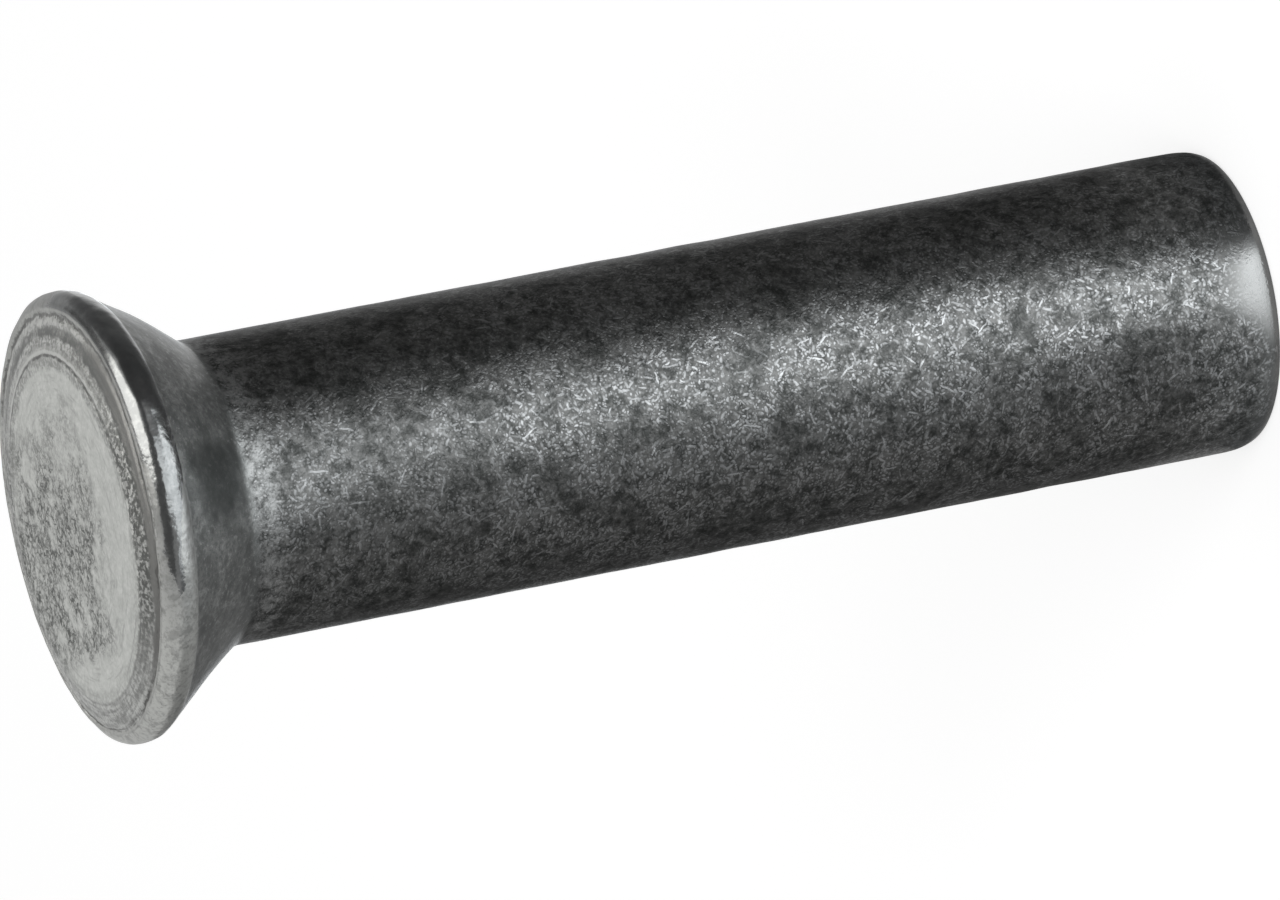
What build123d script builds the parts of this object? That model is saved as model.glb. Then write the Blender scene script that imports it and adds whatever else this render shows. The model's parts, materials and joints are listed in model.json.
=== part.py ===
from build123d import *
import math
import os

# A solid countersunk rivet with a slightly raised head, forged from round steel wire.
# It stands on the flat end of its shank, with its axis along +Z and the origin at
# the centre of that tail face. Lengths are in millimetres and angles in degrees.

# Shank
SHANK_DIAMETER = 10.0
RIVET_LENGTH = 40.2        # tail face to the edge of the head's face
TAIL_CORNER_WIDTH = 0.3    # how far the eased tail corner cuts into the radius
TAIL_CORNER_HEIGHT = 1.0   # how far the eased tail corner runs up the shank
NECK_RADIUS = 1.0          # concave blend between the shank and the cone

# Head, from the cone up to the edge of its face
HEAD_DIAMETER = 14.9       # at the widest line of the rim
CONE_ANGLE = 75.0          # included angle of the countersink cone
RIM_TUCK = 0.28            # widest line in to the start of the cone
RIM_SKIRT_HEIGHT = 0.68    # start of the cone up to the widest line
RIM_CROWN_HEIGHT = 0.50    # widest line up to the edge of the face
RIM_CROWN_WIDTH = 0.55     # widest line in to the edge of the face

# Face of the head: a flat disc, raised inside a sloping ring
RING_WIDTH = 1.15          # edge of the face in to the foot of the disc
RING_RISE = 0.33
DISC_STEP_WIDTH = 0.12     # bevel between the ring and the flat of the disc
DISC_STEP_HEIGHT = 0.10

# Radii that follow
shank_radius = SHANK_DIAMETER / 2
tail_flat_radius = shank_radius - TAIL_CORNER_WIDTH
head_radius = HEAD_DIAMETER / 2
cone_radius = head_radius - RIM_TUCK
face_radius = head_radius - RIM_CROWN_WIDTH
disc_foot_radius = face_radius - RING_WIDTH
disc_radius = disc_foot_radius - DISC_STEP_WIDTH

# Heights that follow, above the tail face
widest_z = RIVET_LENGTH - RIM_CROWN_HEIGHT
cone_top_z = widest_z - RIM_SKIRT_HEIGHT
cone_height = (cone_radius - shank_radius) / math.tan(math.radians(CONE_ANGLE / 2))
disc_foot_z = RIVET_LENGTH + RING_RISE
disc_z = disc_foot_z + DISC_STEP_HEIGHT

# Corners of the half section, each as radius and height
tail_centre = (0, 0)
tail_flat_edge = (tail_flat_radius, 0)
shank_foot = (shank_radius, TAIL_CORNER_HEIGHT)
neck = (shank_radius, cone_top_z - cone_height)
cone_edge = (cone_radius, cone_top_z)
widest = (head_radius, widest_z)
face_edge = (face_radius, RIVET_LENGTH)
disc_foot = (disc_foot_radius, disc_foot_z)
disc_edge = (disc_radius, disc_z)
disc_centre = (0, disc_z)

DOWN = (0, -1)
QUARTER_TURN = 90


def tail_corner():
    """Quarter ellipse from the tail face round to the shank."""
    centre = (tail_flat_radius, TAIL_CORNER_HEIGHT)
    return EllipticalCenterArc(
        centre,
        TAIL_CORNER_WIDTH,
        TAIL_CORNER_HEIGHT,
        start_angle=-QUARTER_TURN,
        arc_size=QUARTER_TURN,
    )


def rim_crown():
    """Quarter ellipse from the widest line of the rim over to the face."""
    centre = (face_radius, widest_z)
    return EllipticalCenterArc(
        centre,
        RIM_CROWN_WIDTH,
        RIM_CROWN_HEIGHT,
        start_angle=0,
        arc_size=QUARTER_TURN,
    )


def half_section():
    """Half of the rivet's section in the XZ plane, closed along the axis."""
    with BuildSketch(Plane.XZ) as section:
        with BuildLine():
            Line(tail_centre, tail_flat_edge)
            tail_corner()
            FilletPolyline(shank_foot, neck, cone_edge, radius=NECK_RADIUS)
            TangentArc(widest, cone_edge, tangent=DOWN)
            rim_crown()
            Polyline(face_edge, disc_foot, disc_edge, disc_centre, tail_centre)
        make_face()
    return section.sketch


rivet = revolve(half_section(), axis=Axis.Z, revolution_arc=360).solid()
rivet.label = "rivet"

os.makedirs("parts", exist_ok=True)
export_step(rivet, "parts/rivet.step")
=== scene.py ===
import json
import math
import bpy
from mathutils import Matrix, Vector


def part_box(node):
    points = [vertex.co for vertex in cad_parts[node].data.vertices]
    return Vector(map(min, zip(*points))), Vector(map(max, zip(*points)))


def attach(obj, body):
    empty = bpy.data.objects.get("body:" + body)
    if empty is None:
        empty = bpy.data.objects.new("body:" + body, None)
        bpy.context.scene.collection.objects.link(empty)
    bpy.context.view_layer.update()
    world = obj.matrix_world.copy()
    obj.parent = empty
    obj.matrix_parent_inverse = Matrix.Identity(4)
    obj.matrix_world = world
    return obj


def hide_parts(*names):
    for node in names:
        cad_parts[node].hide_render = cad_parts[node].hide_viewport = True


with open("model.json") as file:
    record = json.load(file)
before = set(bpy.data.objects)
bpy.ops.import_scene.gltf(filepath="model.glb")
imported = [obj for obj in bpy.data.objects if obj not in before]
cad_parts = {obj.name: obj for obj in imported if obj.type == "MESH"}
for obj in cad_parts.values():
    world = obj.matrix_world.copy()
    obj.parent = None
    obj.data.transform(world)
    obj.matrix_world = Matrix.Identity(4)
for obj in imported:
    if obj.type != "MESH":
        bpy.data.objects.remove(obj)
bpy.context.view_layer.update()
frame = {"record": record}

from types import SimpleNamespace

import bmesh
import bpy
from mathutils import Matrix, Vector, noise

MM = 0.001
NODE = "rivet"


# ---------------------------------------------------------------- sizes from the frame

mounts = {m["name"]: m for m in frame["record"]["mounts"]}
node_low, node_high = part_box(NODE)
HEAD_RADIUS = (node_high[0] - node_low[0]) / 2
TOP_Z = node_high[2]
SHANK_RADIUS = mounts["shank"]["dims"]["r_mm"] * MM
SHANK_MIDDLE = mounts["shank"]["pos_m"][2]
SHANK_HALF = mounts["shank"]["dims"]["length_mm"] * MM / 2
CONE_TOP_Z = mounts["countersink_seat"]["pos_m"][2]
SHANK_START_Z = SHANK_MIDDLE - SHANK_HALF
SHANK_END_Z = SHANK_MIDDLE + SHANK_HALF

# Forms of the head and tail, in metres
TAIL_CORNER_WIDTH = 0.30 * MM
CONE_ANGLE = math.radians(75.0)
NECK_RADIUS = 1.0 * MM
RIM_TUCK = 0.28 * MM
RIM_SKIRT_HEIGHT = 0.68 * MM
RIM_CROWN_HEIGHT = 0.50 * MM
RIM_CROWN_WIDTH = 0.55 * MM
RING_WIDTH = 1.15 * MM
RING_RISE = 0.33 * MM
DISC_STEP_WIDTH = 0.12 * MM

WIDEST_Z = CONE_TOP_Z + RIM_SKIRT_HEIGHT
FACE_Z = WIDEST_Z + RIM_CROWN_HEIGHT
CONE_RADIUS = HEAD_RADIUS - RIM_TUCK
FACE_RADIUS = HEAD_RADIUS - RIM_CROWN_WIDTH
DISC_FOOT_RADIUS = FACE_RADIUS - RING_WIDTH
DISC_RADIUS = DISC_FOOT_RADIUS - DISC_STEP_WIDTH
NECK_Z = CONE_TOP_Z - (CONE_RADIUS - SHANK_RADIUS) / math.tan(CONE_ANGLE / 2)

# What forging and tumbling leave on the real rivet
RIDGE_RADIUS = FACE_RADIUS + 0.03 * MM
CREASE_RADIUS = FACE_RADIUS - 0.13 * MM
PITTED_RADIUS = DISC_FOOT_RADIUS + 0.38 * MM
RING_DRIFT = 0.09 * MM
RIDGE_HEIGHT, RIDGE_INNER_WIDTH, RIDGE_OUTER_WIDTH = 0.035 * MM, 0.10 * MM, 0.28 * MM
CREASE_DEPTH, CREASE_WIDTH = 0.028 * MM, 0.09 * MM
PITTED_DEPTH, PITTED_WIDTH = 0.008 * MM, 0.22 * MM
RIPPLE_HEIGHT, RIPPLE_LENGTH = 0.005 * MM, 0.30 * MM
GROOVE_DEPTH, GROOVE_WIDTH = 0.026 * MM, 0.07 * MM
DISC_SHIFT = -0.36 * MM
DISC_SINK = 0.095 * MM
CONE_BOW = 0.06 * MM
# Cosine and sine of one, two and three waves round the rim
RIM_WAVES = ((-0.024 * MM, 0.034 * MM), (-0.037 * MM, 0.026 * MM), (-0.090 * MM, 0.0))
# Depth, size and seed of each layer of dents
SHANK_DENTS = ((0.016 * MM, 1.6 * MM, 3.0), (0.007 * MM, 0.6 * MM, 8.0))
RIM_DENTS = ((0.036 * MM, 1.2 * MM, 12.0), (0.010 * MM, 0.4 * MM, 17.0))
DISC_DENTS = ((0.010 * MM, 1.8 * MM, 33.0),)
RING_WANDER = ((0.30 * MM, 4.0 * MM, 21.0),)
RIDGE_WANDER = ((0.04 * MM, 0.35 * MM, 25.0),)

SEGMENTS = 420
CENTRE_SHARE = 0.02


# ---------------------------------------------------------------- the rivet's mesh

def spaced(start, end, steps):
    """Points after start on the straight line to end."""
    return [
        tuple(a + (b - a) * i / steps for a, b in zip(start, end))
        for i in range(1, steps + 1)
    ]


def arc(centre, width, height, start, end, steps):
    """Points after start on an ellipse's arc; angles in degrees from outwards."""
    points = []
    for i in range(1, steps + 1):
        angle = math.radians(start + (end - start) * i / steps)
        points.append((centre[0] + width * math.cos(angle), centre[1] + height * math.sin(angle)))
    return points


def profile():
    """Radius and height from the middle of the tail face round to the middle of the head."""
    half = CONE_ANGLE / 2
    tail_flat = SHANK_RADIUS - TAIL_CORNER_WIDTH
    points = [(tail_flat * CENTRE_SHARE, 0.0)]
    points += spaced(points[-1], (tail_flat, 0.0), 10)
    points += arc((tail_flat, SHANK_START_Z), TAIL_CORNER_WIDTH, SHANK_START_Z, -90, 0, 12)
    points += spaced(points[-1], (SHANK_RADIUS, SHANK_END_Z), 78)
    neck_centre = (SHANK_RADIUS + NECK_RADIUS, SHANK_END_Z)
    points += arc(neck_centre, NECK_RADIUS, NECK_RADIUS, 180, 180 - math.degrees(half), 8)
    points += spaced(points[-1], (CONE_RADIUS, CONE_TOP_Z), 20)
    skirt_radius = (RIM_TUCK ** 2 + RIM_SKIRT_HEIGHT ** 2) / (2 * RIM_TUCK)
    sweep = math.degrees(math.asin(RIM_SKIRT_HEIGHT / skirt_radius))
    skirt_centre = (HEAD_RADIUS - skirt_radius, WIDEST_Z)
    points += arc(skirt_centre, skirt_radius, skirt_radius, -sweep, 0, 12)
    points += arc((FACE_RADIUS, WIDEST_Z), RIM_CROWN_WIDTH, RIM_CROWN_HEIGHT, 0, 90, 16)
    points += spaced(points[-1], (DISC_FOOT_RADIUS, FACE_Z + RING_RISE), 22)
    points += spaced(points[-1], (DISC_RADIUS, TOP_Z), 5)
    points += spaced(points[-1], (DISC_RADIUS * CENTRE_SHARE, TOP_Z), 34)
    return points


def smooth_step(low, high, value):
    share = min(max((value - low) / (high - low), 0.0), 1.0)
    return share * share * (3 - 2 * share)


def hump(value, middle, width):
    """1 at middle, falling to 0 on both sides."""
    return math.exp(-((value - middle) / width) ** 2)


def dented(point, layers):
    """The sum of layers of even noise about 0, each with its depth, size and seed."""
    return sum(
        depth * noise.noise(point / size + Vector((seed, seed * 1.7, -seed)))
        for depth, size, seed in layers
    )


def ring_relief(radius, point):
    """Height of the ripples, the ridge, the crease and the pitted zone on the ring."""
    in_ring = smooth_step(DISC_RADIUS, DISC_FOOT_RADIUS, radius)
    in_ring *= 1 - smooth_step(FACE_RADIUS, CONE_RADIUS, radius)
    wandering = radius + dented(point, RING_WANDER)
    relief = RIPPLE_HEIGHT * math.sin(wandering / RIPPLE_LENGTH * 2 * math.pi) * in_ring
    ragged = dented(point, RIDGE_WANDER) - RING_DRIFT * smooth_step(2.0 * MM, 5.0 * MM, point.x)
    ridge_width = RIDGE_INNER_WIDTH if radius + ragged < RIDGE_RADIUS else RIDGE_OUTER_WIDTH
    relief += RIDGE_HEIGHT * hump(radius + ragged, RIDGE_RADIUS, ridge_width)
    relief -= CREASE_DEPTH * hump(radius + ragged, CREASE_RADIUS, CREASE_WIDTH)
    relief -= PITTED_DEPTH * hump(radius + 2 * ragged, PITTED_RADIUS, PITTED_WIDTH)
    return relief


def disc_relief(radius, point):
    """Height of the disc, which lies a little low and uneven inside a fine groove."""
    on_disc = min(max((DISC_FOOT_RADIUS - radius) / DISC_STEP_WIDTH, 0.0), 1.0)
    relief = (dented(point, DISC_DENTS) - DISC_SINK) * on_disc
    return relief - GROOVE_DEPTH * hump(radius, DISC_FOOT_RADIUS, GROOVE_WIDTH)


def shaped(radius, height, angle):
    """The place of one mesh point, with the small faults that cold forming leaves."""
    across = Vector((math.cos(angle), math.sin(angle), 0))
    point = across * radius + Vector((0, 0, height))
    in_head = smooth_step(SHANK_END_Z, CONE_TOP_Z, height)
    at_rim = smooth_step(DISC_RADIUS, CONE_RADIUS, radius) * in_head
    on_shank = smooth_step(0.0, TAIL_CORNER_WIDTH, height) * (1 - in_head)
    on_face = smooth_step(WIDEST_Z, FACE_Z, height)
    up_cone = min(max((height - NECK_Z) / (CONE_TOP_Z - NECK_Z), 0.0), 1.0)
    outward = CONE_BOW * math.cos(angle) * math.sin(math.pi * up_cone)
    for waves, (cosine, sine) in enumerate(RIM_WAVES, 1):
        outward += (cosine * math.cos(waves * angle) + sine * math.sin(waves * angle)) * at_rim
    outward += dented(point, SHANK_DENTS) * on_shank
    outward += dented(point, RIM_DENTS) * at_rim
    upward = (ring_relief(radius, point) + disc_relief(radius, point)) * on_face
    shift = DISC_SHIFT * on_face * (1 - smooth_step(DISC_FOOT_RADIUS, HEAD_RADIUS, radius))
    return point + across * outward + Vector((shift, 0, upward))


def make_rivet():
    """The rivet's one piece; each point keeps its design radius and height as reach and level."""
    mesh = bpy.data.meshes.new("rivet_steel")
    bm = bmesh.new()
    reach = bm.verts.layers.float.new("reach")
    level = bm.verts.layers.float.new("level")
    rows = []
    for radius, height in profile():
        row = []
        for i in range(SEGMENTS):
            vert = bm.verts.new(shaped(radius, height, 2 * math.pi * i / SEGMENTS))
            vert[reach] = radius
            vert[level] = height
            row.append(vert)
        rows.append(row)
    for low, high in zip(rows, rows[1:]):
        for i in range(SEGMENTS):
            j = (i + 1) % SEGMENTS
            bm.faces.new((low[i], low[j], high[j], high[i]))
    bm.faces.new(list(reversed(rows[0])))
    bm.faces.new(rows[-1])
    for face in bm.faces:
        face.smooth = True
    bm.to_mesh(mesh)
    bm.free()
    piece = bpy.data.objects.new("rivet_steel", mesh)
    bpy.context.collection.objects.link(piece)
    return piece


# ---------------------------------------------------------------- the steel

CONE_DARK = (0.110, 0.114, 0.112, 1)
CONE_LIGHT = (0.205, 0.210, 0.206, 1)
CONE_DARK_SPECK = (0.070, 0.073, 0.072, 1)
CONE_LIGHT_SPECK = (0.300, 0.306, 0.300, 1)
CONE_PAINTED_SHADE = (0.030, 0.032, 0.031, 1)
CONE_EDGE_HIGHLIGHT = (0.300, 0.304, 0.300, 1)

SHANK_DARK = (0.024, 0.025, 0.024, 1)
SHANK_LIGHT = (0.096, 0.096, 0.094, 1)
SHANK_MARK = (0.235, 0.238, 0.240, 1)
SMOOTH_TAIL_AND_HIGHLIGHT = (0.150, 0.151, 0.149, 1)
NECK_DARK = (0.045, 0.046, 0.045, 1)
NECK_WORN_AND_HIGHLIGHT = (0.195, 0.197, 0.195, 1)

GLOSS_DARK = (0.115, 0.118, 0.118, 1)
GLOSS_LIGHT = (0.145, 0.148, 0.147, 1)
WORN_DARK = (0.240, 0.243, 0.238, 1)
WORN_LIGHT = (0.400, 0.405, 0.390, 1)
WORN_STAIN = (0.160, 0.162, 0.157, 1)
WORN_PIT = (0.120, 0.122, 0.118, 1)
WORN_START = (0.100, 0.102, 0.098, 1)

RING_DARK = (0.270, 0.274, 0.266, 1)
RING_LIGHT = (0.430, 0.436, 0.424, 1)
RING_CHIP = (0.065, 0.067, 0.064, 1)
RING_CLEAN = (0.340, 0.345, 0.334, 1)
RING_PAINTED_SHADE = (0.095, 0.096, 0.093, 1)
RING_SHADED_BAND = (0.120, 0.120, 0.116, 1)
RING_PITTED = (0.060, 0.062, 0.059, 1)
RING_BRIGHT = (0.400, 0.406, 0.394, 1)
RING_BURNT = (0.095, 0.098, 0.095, 1)
CREASE_PAINTED_SHADE = (0.075, 0.075, 0.072, 1)
RIDGE_PAINTED_HIGHLIGHT = (0.290, 0.294, 0.284, 1)

DISC_LIGHT = (0.490, 0.499, 0.482, 1)
DISC_DARK = (0.415, 0.424, 0.408, 1)
DISC_GRAIN = (0.190, 0.195, 0.187, 1)
DISC_SCORE = (0.200, 0.205, 0.197, 1)
DISC_STAIN = (0.235, 0.240, 0.231, 1)
DISC_RUBBED_EDGE = (0.200, 0.204, 0.197, 1)
DISC_ETCHING = (0.060, 0.063, 0.059, 1)
STEP_LIP_HIGHLIGHT = (0.430, 0.436, 0.424, 1)
STEP_LINE_SHADE = (0.070, 0.071, 0.069, 1)

# The middle of the painted shade on the cone, near the neck towards -Y
PAINTED_SHADE_MIDDLE = (0.35 * MM, -6.0 * MM, NECK_Z + 1.2 * MM)
# The glossy part of the rim faces this way
GLOSS_SIDE_X, GLOSS_SIDE_Y = 0.485, -0.875

SHANK_ROUGHNESS = 0.40
MARK_ROUGHNESS = 0.27
SMOOTH_TAIL_ROUGHNESS = 0.24
CONE_ROUGHNESS = 0.36
GLOSS_ROUGHNESS = 0.20
WORN_ROUGHNESS = 0.40
FACE_ROUGHNESS = 0.42
SHANK_BUMP = 0.012 * MM
HEAD_BUMP = 0.010 * MM


class Nodes:
    """Short names for the nodes of one material."""

    def __init__(self, tree):
        self.tree = tree

    def add(self, kind, values=(), output=0, **settings):
        node = self.tree.nodes.new(kind)
        for name, value in settings.items():
            setattr(node, name, value)
        for key, value in dict(values).items():
            if isinstance(value, bpy.types.NodeSocket):
                self.tree.links.new(value, node.inputs[key])
            else:
                node.inputs[key].default_value = value
        return node.outputs[output]

    def math(self, operation, first, second=0.0):
        return self.add("ShaderNodeMath", {0: first, 1: second}, operation=operation)

    def plus(self, first, *others):
        for other in others:
            first = self.math("ADD", first, other)
        return first

    def minus(self, first, second):
        return self.math("SUBTRACT", first, second)

    def times(self, first, *others):
        for other in others:
            first = self.math("MULTIPLY", first, other)
        return first

    def over(self, first, second):
        return self.math("DIVIDE", first, second)

    def most(self, first, second):
        return self.math("MAXIMUM", first, second)

    def absolute(self, value):
        return self.math("ABSOLUTE", value)

    def vector(self, operation, first, second=(0, 0, 0)):
        result = 1 if operation in ("DOT_PRODUCT", "LENGTH") else 0
        values = {0: first}
        if operation == "SCALE":
            values["Scale"] = second
        elif operation not in ("LENGTH", "NORMALIZE"):
            values[1] = second
        return self.add("ShaderNodeVectorMath", values, result, operation=operation)

    def parts(self, place):
        """The x, y and z of a place."""
        node = self.tree.nodes.new("ShaderNodeSeparateXYZ")
        self.tree.links.new(place, node.inputs[0])
        return node.outputs

    def attribute(self, name):
        return self.add("ShaderNodeAttribute", output=2, attribute_name=name)

    def ramp(self, value, low, high, to_low=0.0, to_high=1.0):
        values = {"Value": value, "From Min": low, "From Max": high, "To Min": to_low, "To Max": to_high}
        return self.add("ShaderNodeMapRange", values, interpolation_type="SMOOTHSTEP")

    def noise(self, place, size, detail=2.0, roughness=0.5, output=0):
        values = {"Vector": place, "Scale": 1 / size, "Detail": detail, "Roughness": roughness}
        return self.add("ShaderNodeTexNoise", values, output)

    def mix(self, share, first, second):
        values = {0: share, 6: first, 7: second}
        return self.add("ShaderNodeMix", values, 2, data_type="RGBA")

    def lerp(self, share, first, second):
        return self.add("ShaderNodeMix", {0: share, 2: first, 3: second})

    def band(self, value, middle, half, soft):
        """1 within half of middle, fading to 0 over soft."""
        return self.ramp(self.absolute(self.minus(value, middle)), half + soft, half)

    def spread(self, value, reach):
        """Noise about 0 instead of 0.5, times reach."""
        return self.times(self.minus(value, 0.5), reach)

    def flecks(self, place, normal, cell, length, width, seed):
        """Short marks, one a cell and each turned its own way and of its own strength; 0 between them."""
        moved = self.vector("ADD", place, (seed, seed * 2, -seed))
        voronoi = self.tree.nodes.new("ShaderNodeTexVoronoi")
        self.tree.links.new(moved, voronoi.inputs["Vector"])
        voronoi.inputs["Scale"].default_value = 1 / cell
        chance = voronoi.outputs["Color"]
        away = self.vector("SUBTRACT", moved, voronoi.outputs["Position"])
        turned = self.vector("SUBTRACT", chance, (0.5, 0.5, 0.5))
        along = self.vector("NORMALIZE", self.vector("CROSS_PRODUCT", normal, turned))
        side = self.vector("CROSS_PRODUCT", normal, along)
        strength = self.add("ShaderNodeSeparateColor", {0: chance}, 1)
        own_length = self.add("ShaderNodeSeparateColor", {0: chance})
        own_length = self.ramp(own_length, 0.0, 1.0, 0.35 * length, 1.25 * length)
        far = self.over(self.vector("DOT_PRODUCT", away, along), own_length)
        off = self.over(self.vector("DOT_PRODUCT", away, side), width)
        square = self.plus(self.times(far, far), self.times(off, off))
        return self.times(self.ramp(square, 1.5, 0.1), strength)


def new_steel(name, edge_tint):
    """A metal material with its node helper, its shader and its object coordinates."""
    material = bpy.data.materials.new(name)
    material.use_nodes = True
    n = Nodes(material.node_tree)
    shader = material.node_tree.nodes["Principled BSDF"]
    shader.inputs["Metallic"].default_value = 1.0
    shader.inputs["Specular Tint"].default_value = (edge_tint, edge_tint, edge_tint, 1)
    place = n.add("ShaderNodeTexCoord", output=3)
    return material, n, shader, place


def finish_steel(n, shader, colour, roughness, relief, bump_height):
    bump = n.add("ShaderNodeBump", {"Strength": 1.0, "Distance": bump_height, "Height": relief})
    n.tree.links.new(colour, shader.inputs["Base Color"])
    n.tree.links.new(roughness, shader.inputs["Roughness"])
    n.tree.links.new(bump, shader.inputs["Normal"])


def bent_place(n, place, size, reach):
    """The coordinates, bent a little so that marks and edges are never straight."""
    bend = n.noise(place, size, 1.0, output=1)
    return n.vector("ADD", place, n.vector("SCALE", n.vector("SUBTRACT", bend, (0.5, 0.5, 0.5)), reach))


def cone_colour(n, place):
    """Smooth, matt grey under the head, finely speckled, with a patch of painted shade near the neck."""
    stain = n.noise(place, 0.8 * MM, 4.0, 0.7)
    fine = n.noise(place, 0.20 * MM, 3.0, 0.7)
    colour = n.mix(n.ramp(stain, 0.3, 0.7), CONE_DARK, CONE_LIGHT)
    colour = n.mix(n.ramp(fine, 0.49, 0.58, 0.0, 0.55), colour, CONE_DARK_SPECK)
    colour = n.mix(n.ramp(fine, 0.44, 0.36, 0.0, 0.60), colour, CONE_LIGHT_SPECK)
    # Painted shade: a dark patch on the cone where it meets the shank, towards -Y
    away = n.vector("LENGTH", n.vector("SUBTRACT", place, PAINTED_SHADE_MIDDLE))
    burn_and_shade = n.ramp(n.plus(away, n.spread(stain, 1.4 * MM)), 2.1 * MM, 0.7 * MM, 0.0, 0.80)
    return n.mix(burn_and_shade, colour, CONE_PAINTED_SHADE)


def shank_steel():
    """Near-black steel under a crowd of pale, randomly turned marks, in patches."""
    material, n, shader, place = new_steel("dark_tumbled_steel", 0.5)
    normal = n.add("ShaderNodeNewGeometry", output=1)
    x, y, z = n.parts(place)
    bent = bent_place(n, place, 0.22 * MM, 0.09 * MM)
    patch = n.noise(place, 1.7 * MM, 2.0, 0.55)
    blotch = n.noise(bent, 0.40 * MM, 4.0, 0.75)

    # The tail's edge is smooth and has few marks; towards -Y its lighter colour reaches higher as a
    # painted highlight
    bare = n.ramp(n.absolute(n.minus(x, 0.6 * MM)), 2.6 * MM, 0.6 * MM, 0.0, 1.5 * MM)
    bare = n.times(bare, n.ramp(y, 1.0 * MM, -2.0 * MM))
    from_tail = n.plus(n.minus(z, bare), n.spread(patch, 1.6 * MM), n.spread(blotch, 1.6 * MM))
    past_tail = n.ramp(from_tail, -0.5 * MM, 0.7 * MM, 0.12, 1.0)

    # The marks crowd in patches and thin out towards the head; towards +X they thin out as painted shade
    needles = n.flecks(bent, normal, 0.62 * MM, 0.34 * MM, 0.042 * MM, 0.013)
    chips = n.flecks(bent, normal, 0.27 * MM, 0.15 * MM, 0.050 * MM, 0.029)
    specks = n.flecks(bent, normal, 0.13 * MM, 0.065 * MM, 0.042 * MM, 0.041)
    crowd = n.ramp(n.plus(n.times(patch, 0.6), n.times(blotch, 0.4)), 0.40, 0.56, 0.15, 1.0)
    crowd = n.times(crowd, n.ramp(z, 25 * MM, 31 * MM, 1.0, 0.6))
    # Painted shade: fewer pale marks towards +X, on the side that lies in shade
    crowd = n.times(crowd, n.ramp(x, 1.5 * MM, 3.0 * MM, 1.0, 0.55))
    small = n.most(n.times(chips, 0.9), n.times(specks, 0.8))
    marks = n.times(n.most(n.ramp(needles, 0.40, 0.80), small), crowd, past_tail)

    base = n.plus(n.times(blotch, 0.8), n.times(patch, 0.2))
    colour = n.mix(n.ramp(base, 0.34, 0.68), SHANK_DARK, SHANK_LIGHT)
    colour = n.mix(marks, colour, SHANK_MARK)
    # Partly painted highlight: the smooth tail edge is lighter steel, reaching higher towards -Y where
    # the highlight falls
    colour = n.mix(past_tail, SMOOTH_TAIL_AND_HIGHLIGHT, colour)

    # A lighter band under the cone, with an uneven edge: partly worn metal, partly painted highlight
    uneven = n.spread(blotch, 0.9 * MM)
    near_neck = n.ramp(n.plus(z, uneven), NECK_Z - 1.2 * MM, NECK_Z - 0.6 * MM, 0.0, 0.8)
    worn = n.mix(n.most(specks, n.ramp(blotch, 0.35, 0.65)), NECK_DARK, NECK_WORN_AND_HIGHLIGHT)
    colour = n.mix(near_neck, colour, worn)
    above_neck = n.ramp(n.plus(z, n.times(uneven, 0.25)), NECK_Z - 0.22 * MM, NECK_Z + 0.05 * MM)
    colour = n.mix(above_neck, colour, cone_colour(n, place))

    roughness = n.ramp(marks, 0.0, 1.0, SHANK_ROUGHNESS, MARK_ROUGHNESS)
    roughness = n.lerp(past_tail, SMOOTH_TAIL_ROUGHNESS, roughness)
    roughness = n.lerp(above_neck, roughness, CONE_ROUGHNESS)
    relief = n.plus(n.times(small, 0.6), blotch)
    finish_steel(n, shader, colour, roughness, relief, SHANK_BUMP)
    return material


def head_marks(n, place):
    """What the colours and the relief of the head share: places on it and noises."""
    x, y = n.parts(place)[:2]
    bent = bent_place(n, place, 0.35 * MM, 0.20 * MM)
    m = SimpleNamespace(
        place=place, bent=bent, x=x, y=y,
        reach=n.attribute("reach"),
        level=n.attribute("level"),
        grain=n.noise(place, 0.13 * MM, 2.0, 0.6),
        peel=n.noise(place, 0.20 * MM, 1.5, 0.5),
        patch=n.noise(place, 1.8 * MM, 2.0, 0.5),
        blotch=n.noise(bent, 0.45 * MM, 4.0, 0.65),
        pits=n.noise(bent, 0.24 * MM, 3.0, 0.6),
    )
    m.crumbs = n.plus(n.times(m.pits, 0.45), n.times(m.grain, 0.55))
    m.across = n.math("SQRT", n.plus(n.times(x, x), n.times(y, y)))
    # Scores run round the axis: they change quickly outwards and slowly along the ring
    turn = n.add("ShaderNodeCombineXYZ", {
        0: n.over(m.reach, 0.16 * MM),
        1: n.times(n.over(x, m.across), 4.0),
        2: n.times(n.over(y, m.across), 4.0),
    })
    m.scores = n.noise(turn, 1.0, 3.0, 0.6)
    m.wander = n.plus(m.reach, n.spread(m.blotch, 0.45 * MM))
    m.above_cone = n.ramp(m.level, CONE_TOP_Z - 0.03 * MM, CONE_TOP_Z + 0.03 * MM)
    m.above_rim = n.ramp(m.level, FACE_Z - 0.030 * MM, FACE_Z - 0.008 * MM)
    return m


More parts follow.
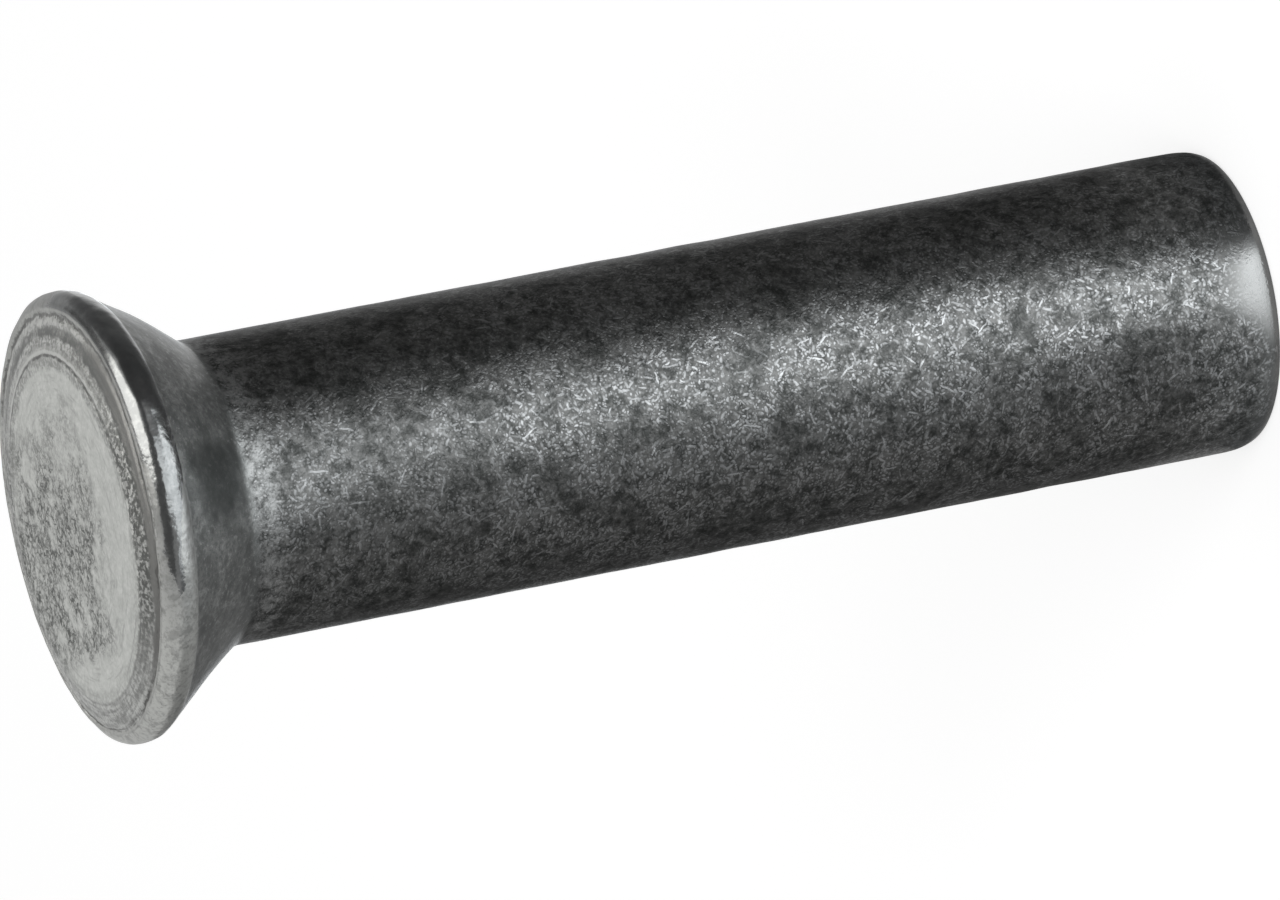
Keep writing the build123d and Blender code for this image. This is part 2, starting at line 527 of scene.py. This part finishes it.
def gloss_share(n, m):
    """1 where the rim keeps its dark gloss: a ragged wedge on the side towards -Y and +X."""
    toward = n.plus(n.times(m.x, GLOSS_SIDE_X), n.times(m.y, GLOSS_SIDE_Y))
    toward = n.plus(n.over(toward, m.across), n.spread(m.blotch, 0.24))
    ragged = n.plus(n.spread(m.pits, 0.14 * MM), n.spread(m.grain, 0.08 * MM))
    ragged = n.times(ragged, n.ramp(m.x, -0.5 * MM, -2.5 * MM, 1.0, 2.2))
    height = n.plus(m.level, ragged)
    top = n.ramp(m.x, 2.2 * MM, 0.2 * MM, FACE_Z + 0.04 * MM, WIDEST_Z + 0.36 * MM)
    top = n.minus(top, n.ramp(m.x, -1.6 * MM, -3.4 * MM, 0.0, 0.36 * MM))
    foot = n.ramp(m.x, 1.8 * MM, -1.9 * MM, CONE_TOP_Z - 0.1 * MM, WIDEST_Z - 0.12 * MM)
    end = n.ramp(m.x, -4.0 * MM, -1.8 * MM, -0.3, 1.0)
    end = n.plus(end, n.spread(n.plus(m.blotch, m.pits), 1.1))
    return n.times(
        n.ramp(toward, 0.50, 0.62),
        n.ramp(end, 0.72, 0.88),
        n.ramp(n.minus(height, top), 0.03 * MM, -0.03 * MM),
        n.ramp(n.minus(height, foot), -0.04 * MM, 0.04 * MM),
    )


def rim_colour(n, m, glossy):
    """Worn pale metal, paler towards -X, round the dark gloss."""
    worn = n.mix(n.ramp(m.x, -1.0 * MM, -5.5 * MM), WORN_DARK, WORN_LIGHT)
    worn = n.mix(n.ramp(m.blotch, 0.50, 0.64, 0.0, 0.5), worn, WORN_STAIN)
    worn = n.mix(n.ramp(m.pits, 0.56, 0.66, 0.0, 0.4), worn, WORN_PIT)
    worn = n.mix(n.ramp(m.grain, 0.45, 0.70, 0.0, 0.35), worn, WORN_STAIN)
    worn = n.mix(n.times(n.band(m.x, 0.4 * MM, 0.9 * MM, 0.9 * MM), 0.45), worn, WORN_START)
    gloss = n.mix(n.ramp(m.blotch, 0.40, 0.65), GLOSS_DARK, GLOSS_LIGHT)
    return n.mix(glossy, worn, gloss)


def ring_colour(n, m):
    """Scored pale metal, full of dark chips, with dark and light rings that wander."""
    x, y = m.x, m.y
    colour = n.mix(n.ramp(m.scores, 0.36, 0.64), RING_DARK, RING_LIGHT)
    chips = n.times(
        n.ramp(m.crumbs, 0.44, 0.59),
        n.ramp(x, -5.0 * MM, -2.5 * MM, 0.45, 0.80),
        n.ramp(x, 1.0 * MM, 3.5 * MM, 1.0, 0.70),
    )
    colour = n.mix(chips, colour, RING_CHIP)
    clean = n.band(m.wander, DISC_FOOT_RADIUS + 0.13 * MM, 0.05 * MM, 0.08 * MM)
    clean = n.times(clean, n.ramp(x, 2.0 * MM, 4.0 * MM, 0.0, 0.7))
    colour = n.mix(clean, colour, RING_CLEAN)

    # Painted shade towards -Y: the ring darkened there, and a smooth dark band of painted shade inside
    # the ridge
    near_side = n.times(
        n.ramp(y, 0.5 * MM, -3.5 * MM, 0.2, 0.95),
        n.ramp(x, -6.2 * MM, -4.6 * MM, 0.15, 1.0),
        n.ramp(x, 6.0 * MM, 4.6 * MM, 0.3, 1.0),
    )
    colour = n.mix(n.times(near_side, 0.35), colour, RING_PAINTED_SHADE)
    inner = n.lerp(n.ramp(x, -4.0 * MM, -0.5 * MM), FACE_RADIUS - 0.38 * MM, FACE_RADIUS - 0.62 * MM)
    smooth = n.times(
        n.ramp(n.minus(m.wander, inner), -0.06 * MM, 0.08 * MM),
        n.ramp(m.wander, FACE_RADIUS - 0.05 * MM, FACE_RADIUS - 0.13 * MM),
        near_side,
    )
    colour = n.mix(smooth, colour, RING_SHADED_BAND)

    # A light and a burnt ring towards +X
    top_side = n.ramp(x, 2.0 * MM, 5.0 * MM)
    bright = n.times(
        n.band(m.wander, FACE_RADIUS - 0.20 * MM, 0.05 * MM, 0.06 * MM),
        n.ramp(x, 3.0 * MM, 5.2 * MM),
        n.ramp(y, -4.6 * MM, -2.6 * MM),
        n.ramp(m.pits, 0.58, 0.44, 0.3, 0.8),
    )
    colour = n.mix(bright, colour, RING_BRIGHT)
    burn_and_shade = n.times(
        n.band(m.wander, FACE_RADIUS - 0.48 * MM, 0.07 * MM, 0.12 * MM),
        top_side,
        n.ramp(m.blotch, 0.36, 0.58, 0.25, 0.90),
    )
    colour = n.mix(burn_and_shade, colour, RING_BURNT)

    # Painted shade in the crease and a painted highlight on the ridge of the mesh, which drift outwards
    # towards +X
    drifted = n.minus(m.wander, n.times(top_side, RING_DRIFT))
    drifted = n.plus(drifted, n.spread(m.grain, 0.14 * MM))
    breaks = n.most(n.ramp(m.scores, 0.60, 0.40), n.times(top_side, 0.80))
    crease = n.times(n.band(drifted, CREASE_RADIUS, 0.03 * MM, 0.06 * MM), breaks, 0.9)
    colour = n.mix(crease, colour, CREASE_PAINTED_SHADE)
    ridge = n.band(drifted, RIDGE_RADIUS, 0.05 * MM, 0.06 * MM)
    ridge = n.times(ridge, n.ramp(m.scores, 0.30, 0.55, 0.4, 1.0), 0.8)
    return n.mix(ridge, colour, RIDGE_PAINTED_HIGHLIGHT)


def disc_colour(n, m):
    """Pale metal with a stained zone that is etched with fine dark lines."""
    colour = n.mix(n.ramp(m.blotch, 0.3, 0.7), DISC_LIGHT, DISC_DARK)
    colour = n.mix(n.ramp(m.grain, 0.35, 0.70, 0.0, 0.22), colour, DISC_GRAIN)
    scored = n.times(n.ramp(m.scores, 0.52, 0.70), n.ramp(m.reach, 1.0 * MM, 4.0 * MM, 0.0, 0.45))
    colour = n.mix(scored, colour, DISC_SCORE)

    stained = n.times(
        n.ramp(n.plus(m.x, n.spread(m.patch, 6.0 * MM)), 3.8 * MM, 0.8 * MM, 0.1, 1.0),
        n.ramp(n.plus(m.y, n.spread(m.patch, 4.0 * MM)), -3.2 * MM, -1.4 * MM, 0.1, 1.0),
        n.ramp(n.noise(m.bent, 1.3 * MM, 4.0, 0.7), 0.33, 0.52),
        n.ramp(n.plus(m.x, n.spread(m.patch, 2.0 * MM)), -5.0 * MM, -4.0 * MM),
    )
    colour = n.mix(n.times(stained, 0.28), colour, DISC_STAIN)

    rubbed = n.plus(m.reach, n.spread(m.blotch, 0.30 * MM), n.spread(m.pits, 0.30 * MM))
    rubbed = n.times(
        n.ramp(rubbed, DISC_RADIUS - 0.42 * MM, DISC_RADIUS - 0.24 * MM),
        n.ramp(m.x, 0.0, 3.0 * MM, 0.35, 0.85),
        n.ramp(m.crumbs, 0.40, 0.56, 0.25, 1.0),
    )
    colour = n.mix(rubbed, colour, DISC_RUBBED_EDGE)

    wide_lines = n.band(n.noise(m.bent, 0.46 * MM, 3.0, 0.6), 0.50, 0.015, 0.055)
    fine_lines = n.band(n.noise(m.place, 0.25 * MM, 2.0, 0.6), 0.50, 0.020, 0.075)
    etched = n.times(
        n.most(wide_lines, n.times(fine_lines, 0.65)),
        n.ramp(m.blotch, 0.34, 0.54, 0.3, 1.0),
        n.most(stained, 0.04),
    )
    return n.mix(etched, colour, DISC_ETCHING)


def pitted_share(n, m):
    """1 in the pits of the ring beside the disc, which thin out towards +X and -X."""
    near_side = n.times(n.ramp(m.y, -2.0 * MM, -4.2 * MM), n.ramp(m.x, 4.0 * MM, 2.2 * MM))
    inner = n.lerp(near_side, PITTED_RADIUS - 0.28 * MM, PITTED_RADIUS - 0.50 * MM)
    return n.times(
        n.ramp(n.minus(m.wander, inner), -0.14 * MM, 0.06 * MM),
        n.ramp(m.wander, PITTED_RADIUS + 0.36 * MM, PITTED_RADIUS + 0.22 * MM),
        n.ramp(m.crumbs, 0.44, 0.52),
        n.ramp(m.x, -5.0 * MM, -2.0 * MM, 0.1, 0.85),
        n.ramp(m.x, 1.5 * MM, 4.0 * MM, 1.0, 0.25),
        0.85,
    )


def head_steel():
    """Matt cone, glossy rim worn pale on one side, pitted ring and pale blotched disc."""
    material, n, shader, place = new_steel("pressed_head_steel", 0.8)
    m = head_marks(n, place)
    glossy = gloss_share(n, m)

    colour = n.mix(m.above_cone, cone_colour(n, place), rim_colour(n, m, glossy))
    # Painted highlight: a light line along the sharp edge where the cone meets the rim
    edge_highlight = n.band(m.level, CONE_TOP_Z, 0.02 * MM, 0.04 * MM)
    edge_highlight = n.times(edge_highlight, n.ramp(m.blotch, 0.40, 0.60, 0.05, 0.45))
    colour = n.mix(edge_highlight, colour, CONE_EDGE_HIGHLIGHT)
    colour = n.mix(m.above_rim, colour, ring_colour(n, m))
    in_disc = n.times(n.ramp(m.reach, DISC_FOOT_RADIUS, DISC_RADIUS), m.above_rim)
    colour = n.mix(in_disc, colour, disc_colour(n, m))
    colour = n.mix(n.times(pitted_share(n, m), m.above_rim), colour, RING_PITTED)

    # The disc's step is painted as a highlight on its lip round painted shade in its groove, mostly
    # towards +X
    uneven = n.plus(m.reach, n.spread(m.blotch, 0.16 * MM), n.spread(m.pits, 0.10 * MM))
    lip_highlight = n.times(
        n.band(uneven, DISC_FOOT_RADIUS + 0.06 * MM, 0.03 * MM, 0.06 * MM),
        n.ramp(m.x, 2.0 * MM, 4.0 * MM, 0.0, 0.70),
        m.above_rim,
    )
    colour = n.mix(lip_highlight, colour, STEP_LIP_HIGHLIGHT)
    line = n.times(
        n.band(uneven, DISC_FOOT_RADIUS - 0.06 * MM, 0.025 * MM, 0.05 * MM),
        n.ramp(m.blotch, 0.36, 0.58, 0.35, 0.95),
        n.ramp(m.x, 0.5 * MM, 3.0 * MM, 0.15, 1.0),
        m.above_rim,
    )
    colour = n.mix(line, colour, STEP_LINE_SHADE)

    roughness = n.lerp(glossy, WORN_ROUGHNESS, GLOSS_ROUGHNESS)
    roughness = n.lerp(m.above_cone, CONE_ROUGHNESS, roughness)
    roughness = n.lerp(m.above_rim, roughness, FACE_ROUGHNESS)
    rim_relief = n.times(
        n.spread(m.peel, 1.0),
        n.ramp(m.level, WIDEST_Z, WIDEST_Z + 0.25 * MM, 2.2, 1.3),
        n.ramp(m.x, 1.5 * MM, 4.0 * MM, 1.0, 0.2),
    )
    relief = n.lerp(m.above_cone, n.spread(m.grain, 0.6), rim_relief)
    relief = n.lerp(m.above_rim, relief, n.plus(n.spread(m.scores, 0.6), n.spread(m.grain, 0.5)))
    finish_steel(n, shader, colour, roughness, relief, HEAD_BUMP)
    return material


rivet = make_rivet()
rivet.data.materials.append(shank_steel())
rivet.data.materials.append(head_steel())
for face in rivet.data.polygons:
    face.material_index = int(face.center.z > NECK_Z)
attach(rivet, "root")
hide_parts(NODE)


# ---------------------------------------------------------------- camera

CAMERA_ELEVATION = math.radians(20.5)
CAMERA_ROLL = math.radians(90 + 10.91)
CAMERA_DISTANCE = 0.6104
CAMERA_AIM = Vector((-1.28 * MM, 0, 20.97 * MM))
CAMERA_LENS = 528.8
SENSOR_WIDTH = 36.0


def make_camera():
    data = bpy.data.cameras.new("camera")
    data.lens = CAMERA_LENS
    data.sensor_width = SENSOR_WIDTH
    data.clip_start = 0.01
    data.clip_end = 20.0
    back = Vector((0, -math.cos(CAMERA_ELEVATION), math.sin(CAMERA_ELEVATION)))
    level_up = Vector((0, math.sin(CAMERA_ELEVATION), math.cos(CAMERA_ELEVATION)))
    level_right = Vector((1, 0, 0))
    right = math.cos(CAMERA_ROLL) * level_right - math.sin(CAMERA_ROLL) * level_up
    up = math.sin(CAMERA_ROLL) * level_right + math.cos(CAMERA_ROLL) * level_up
    camera = bpy.data.objects.new("camera", data)
    turn = Matrix((right, up, back)).transposed()
    camera.matrix_world = Matrix.Translation(CAMERA_AIM + back * CAMERA_DISTANCE) @ turn.to_4x4()
    bpy.context.collection.objects.link(camera)
    bpy.context.scene.camera = camera


make_camera()


# ---------------------------------------------------------------- floor and world

FLOOR_HALF = 3
FLOOR_GLOW = 0.70
FLOOR_GREY = 0.45
LIGHTING_GREY = 0.8
WORLD_LIGHT = 0.5
WHITE = (1, 1, 1, 1)


def emptied(owner):
    """The nodes of a material or a world, with none in place yet."""
    owner.use_nodes = True
    owner.node_tree.nodes.clear()
    return Nodes(owner.node_tree)


def send_out(n, kind, surface):
    output = n.tree.nodes.new(kind)
    n.tree.links.new(surface, output.inputs[0])


def seen_rays(n):
    """1 for rays from the camera, and 1 for rays that the steel reflects or lets through."""
    path = n.tree.nodes.new("ShaderNodeLightPath")
    reflected = n.most(path.outputs["Is Glossy Ray"], path.outputs["Is Transmission Ray"])
    return path.outputs["Is Camera Ray"], reflected


def grey(value):
    return (value, value, value, 1)


def make_floor():
    """A floor that looks white apart from the rivet's shadow, and plain white in the steel."""
    mesh = bpy.data.meshes.new("floor")
    turns = ((-1, -1), (1, -1), (1, 1), (-1, 1))
    mesh.from_pydata([(x * FLOOR_HALF, y * FLOOR_HALF, 0.0) for x, y in turns], [], [(0, 1, 2, 3)])
    piece = bpy.data.objects.new("floor", mesh)
    bpy.context.collection.objects.link(piece)
    material = bpy.data.materials.new("pale_floor")
    n = emptied(material)
    camera_ray, reflected_ray = seen_rays(n)
    lit = n.add("ShaderNodeBsdfDiffuse", {"Color": grey(LIGHTING_GREY)})
    shaded = n.add("ShaderNodeBsdfDiffuse", {"Color": grey(FLOOR_GREY)})
    glow = n.add("ShaderNodeEmission", {"Color": WHITE, "Strength": FLOOR_GLOW})
    shown = n.add("ShaderNodeAddShader", {0: shaded, 1: glow})
    white = n.add("ShaderNodeEmission", {"Color": WHITE, "Strength": 1.0})
    seen = n.add("ShaderNodeMixShader", {0: camera_ray, 1: lit, 2: shown})
    surface = n.add("ShaderNodeMixShader", {0: reflected_ray, 1: seen, 2: white})
    send_out(n, "ShaderNodeOutputMaterial", surface)
    mesh.materials.append(material)


def make_world():
    """White where the camera or the steel sees it, and softer where it only lights."""
    world = bpy.data.worlds.new("studio")
    bpy.context.scene.world = world
    n = emptied(world)
    soft = n.add("ShaderNodeBackground", {"Color": WHITE, "Strength": WORLD_LIGHT})
    white = n.add("ShaderNodeBackground", {"Color": WHITE, "Strength": 1.0})
    surface = n.add("ShaderNodeMixShader", {0: n.most(*seen_rays(n)), 1: soft, 2: white})
    send_out(n, "ShaderNodeOutputWorld", surface)


make_floor()
make_world()


# ---------------------------------------------------------------- lamp and cards

KEY_DISTANCE = 0.5
KEY_SIZE = 0.35
KEY_RADIANCE = 3.0

COOL = (0.95, 0.98, 1.0)
WARM = (1.0, 0.985, 0.955)
PLAIN = (1, 1, 1)

# Distances from the rivet's axis and heights, in metres
LOW = 0.1 * MM
FOOT = 5.03 * MM
FRONT = 66 * MM
REACH = 120 * MM
OVERHEAD = 0.3
SOFTBOX_DISTANCE = 0.5

# Stops are (azimuth in degrees, glow); a glow of 1 is as bright as the white floor
FOOT_STOPS = (
    (-100, 0.5), (-60, 1.0), (-40, 1.4), (-24, 1.8), (-14, 2.7), (-6, 3.8),
    (0, 4.7), (14, 5.2), (20, 1.5), (26, 0.3), (125, 0.3), (140, 0.9),
)
TAIL_STOPS = ((-60, 0.8), (-34, 1.2), (-22, 1.8), (-8, 3.6), (0, 4.8), (18, 5.0), (24, 0.4))
HIGH_TAIL_STOPS = ((-12, 0.8), (-2, 4.4), (22, 5.0), (28, 0.4))
LOW_STOPS = ((-26, 0.7), (-10, 2.2), (-4, 4.8), (30, 5.0), (37, 0.5))
INNER_STOPS = ((-60, 0.4), (46, 0.4))
FLOOR_STOPS = (
    (-60, 0.7), (-42, 1.0), (-26, 1.6), (-12, 2.2), (-3, 4.6), (32, 5.2), (39, 1.2), (45, 0.3),
)
MID_STOPS = (
    (-60, 0.7), (-42, 1.0), (-26, 1.6), (-12, 2.2), (-3, 4.6), (34, 5.4), (41, 1.2), (46, 0.3),
)
FAR_STOPS = (
    (-60, 0.4), (-42, 0.6), (-26, 0.9), (-12, 1.8), (-4, 4.4), (14, 4.4),
    (26, 2.8), (34, 0.6), (40, 0.3),
)
FRONT_STOPS = ((-14, 0.36), (-5, 3.6), (24, 3.6), (34, 0.36))
RIM_STOPS = ((-27, 0.8), (-23, 2.4), (-13, 3.4), (-5, 4.4), (2, 4.4))
BACK_STOPS = ((160, 1.0), (170, 3.0), (190, 3.0), (200, 1.0))
RIGHT_STOPS = (
    (46, 0.30), (60, 0.24), (88, 0.2), (100, 0.32), (128, 0.35), (136, 0.9), (144, 1.5), (158, 1.6),
)
RIGHT_WALL_STOPS = ((46, 0.2), (88, 0.2), (100, 0.3), (125, 0.4), (142, 0.6))
NEAR_LEFT_STOPS = ((-175, 0.4), (-110, 0.45), (-80, 0.60), (-60, 0.70))
LEFT_STOPS = ((-175, 0.3), (-100, 0.3), (-80, 0.4), (-60, 0.5))

# Dark cards over the rivet: two azimuths and the highest elevation, in degrees
TOP_PARTS = ((-40, 16, 66), (16, 28, 54), (28, 38, 42), (38, 92, 31))
TOP_LOWEST, TOP_GLOW = 9, 0.38
BACK_LOWEST, BACK_HIGHEST = 22, 50
BACK_DARK_STOPS = ((124, 0.3), (158, 0.3))

# Azimuth and elevation of the softbox's corners, in degrees
SOFTBOX = (
    (22, 60), (35, 48), (60, 41), (86, 44), (112, 45), (150, 48), (162, 66), (125, 79), (50, 79),
)
SOFTBOX_GLOW = 6.6

SWEEP_STEP = 5
ARCH_STEPS = 8


def direction(azimuth, elevation):
    """Azimuth 0 is the camera's side and turns towards +X; both in degrees."""
    a, e = math.radians(azimuth), math.radians(elevation)
    return Vector((math.sin(a) * math.cos(e), -math.cos(a) * math.cos(e), math.sin(e)))


def make_key_lamp():
    """The square lamp that casts the rivet's shadow on the floor, and that the steel doesn't reflect."""
    data = bpy.data.lights.new("key", "AREA")
    data.shape = "RECTANGLE"
    data.size = data.size_y = KEY_SIZE
    data.energy = KEY_RADIANCE * math.pi * KEY_SIZE * KEY_SIZE
    lamp = bpy.data.objects.new("key", data)
    place = direction(4, 40) * KEY_DISTANCE
    aim = Vector((0, 0, TOP_Z / 2)) - place
    turn = aim.to_track_quat("-Z", "Y").to_matrix().to_4x4()
    lamp.matrix_world = Matrix.Translation(place) @ turn
    lamp.visible_camera = False
    lamp.visible_glossy = False
    bpy.context.collection.objects.link(lamp)


def card(name, corners, faces, glows, colour):
    """A glowing or dark card of the studio, which only the steel's reflections show."""
    mesh = bpy.data.meshes.new(name)
    mesh.from_pydata(corners, [], faces)
    mesh.attributes.new("glow", "FLOAT", "POINT").data.foreach_set("value", glows)
    piece = bpy.data.objects.new(name, mesh)
    bpy.context.collection.objects.link(piece)
    material = bpy.data.materials.new(name)
    n = emptied(material)
    shown = n.add("ShaderNodeEmission", {"Color": (*colour, 1), "Strength": n.attribute("glow")})
    send_out(n, "ShaderNodeOutputMaterial", shown)
    mesh.materials.append(material)
    piece.visible_camera = False
    piece.visible_diffuse = False
    piece.visible_shadow = False


def swept_card(name, points, stops, colour=PLAIN):
    """A card swept round the rivet's axis.

    points are (distance, height, share of the glow), and the glow changes evenly from stop to stop.
    """
    columns = []
    for (start, low), (end, high) in zip(stops, stops[1:]):
        steps = math.ceil((end - start) / SWEEP_STEP)
        for i in range(steps):
            columns.append((start + (end - start) * i / steps, low + (high - low) * i / steps))
    columns.append(stops[-1])
    corners, glows, faces = [], [], []
    for azimuth, glow in columns:
        outward = direction(azimuth, 0)
        for distance, height, share in points:
            corners.append(outward * distance + Vector((0, 0, height)))
            glows.append(glow * share)
    rows = len(points)
    for i in range(len(columns) - 1):
        for j in range(rows - 1):
            a = i * rows + j
            faces.append((a, a + rows, a + rows + 1, a + 1))
    card(name, corners, faces, glows, colour)


def floor_card(name, near, far, stops, colour=PLAIN):
    """A card just over the floor, between two distances."""
    swept_card(name, ((near, LOW, 1.0), (far, LOW, 1.0)), stops, colour)


def wall_card(name, distance, low, high, stops, colour=PLAIN):
    """A card that stands round the rivet, between two heights."""
    swept_card(name, ((distance, low, 1.0), (distance, high, 1.0)), stops, colour)


def arch_card(name, lowest, highest, stops):
    """A card over the rivet, between two elevations as the head sees them."""
    points = []
    for i in range(ARCH_STEPS + 1):
        e = math.radians(lowest + (highest - lowest) * i / ARCH_STEPS)
        points.append((OVERHEAD * math.cos(e), TOP_Z + OVERHEAD * math.sin(e), 1.0))
    swept_card(name, points, stops)


def make_softbox():
    """A large warm card over the head."""
    head = Vector((0, 0, TOP_Z))
    corners = [head + direction(azimuth, elevation) * SOFTBOX_DISTANCE for azimuth, elevation in SOFTBOX]
    glows = [SOFTBOX_GLOW] * len(corners)
    card("softbox", corners, [tuple(range(len(corners)))], glows, WARM)


swept_card("foot_glow", ((FOOT, LOW, 0.7), (5.5 * MM, LOW, 1.0), (8.6 * MM, LOW, 1.0)), FOOT_STOPS, COOL)
wall_card("tail_glow", 9 * MM, LOW, 1.2 * MM, TAIL_STOPS, COOL)
wall_card("tail_glow_high", 9 * MM, 1.2 * MM, 4.5 * MM, HIGH_TAIL_STOPS, COOL)
wall_card("low_glow", 16 * MM, LOW, 5 * MM, LOW_STOPS, COOL)
floor_card("inner_dark", 8.7 * MM, 20 * MM, INNER_STOPS)
floor_card("floor_glow", 21 * MM, 42 * MM, FLOOR_STOPS, COOL)
floor_card("mid_glow", 42 * MM, FRONT, MID_STOPS, COOL)
swept_card("far_glow", ((FRONT, LOW, 1.0), (REACH, LOW, 0.9)), FAR_STOPS, COOL)
wall_card("front_glow", REACH, LOW, 54 * MM, FRONT_STOPS, COOL)
wall_card("rim_glow", 11.0 * MM, 32.5 * MM, 38.05 * MM, RIM_STOPS, COOL)
floor_card("back_glow", 19 * MM, REACH, BACK_STOPS, COOL)
floor_card("right_dark", 12 * MM, REACH, RIGHT_STOPS)
wall_card("right_wall", REACH, LOW, 120 * MM, RIGHT_WALL_STOPS)
floor_card("near_left_dark", 12 * MM, 40 * MM, NEAR_LEFT_STOPS)
floor_card("left_dark", 42 * MM, REACH, LEFT_STOPS)
for start, end, highest in TOP_PARTS:
    arch_card("top_dark", TOP_LOWEST, highest, ((start, TOP_GLOW), (end, TOP_GLOW)))
arch_card("back_dark", BACK_LOWEST, BACK_HIGHEST, BACK_DARK_STOPS)
make_softbox()
make_key_lamp()

bpy.context.scene.view_settings.view_transform = "Standard"
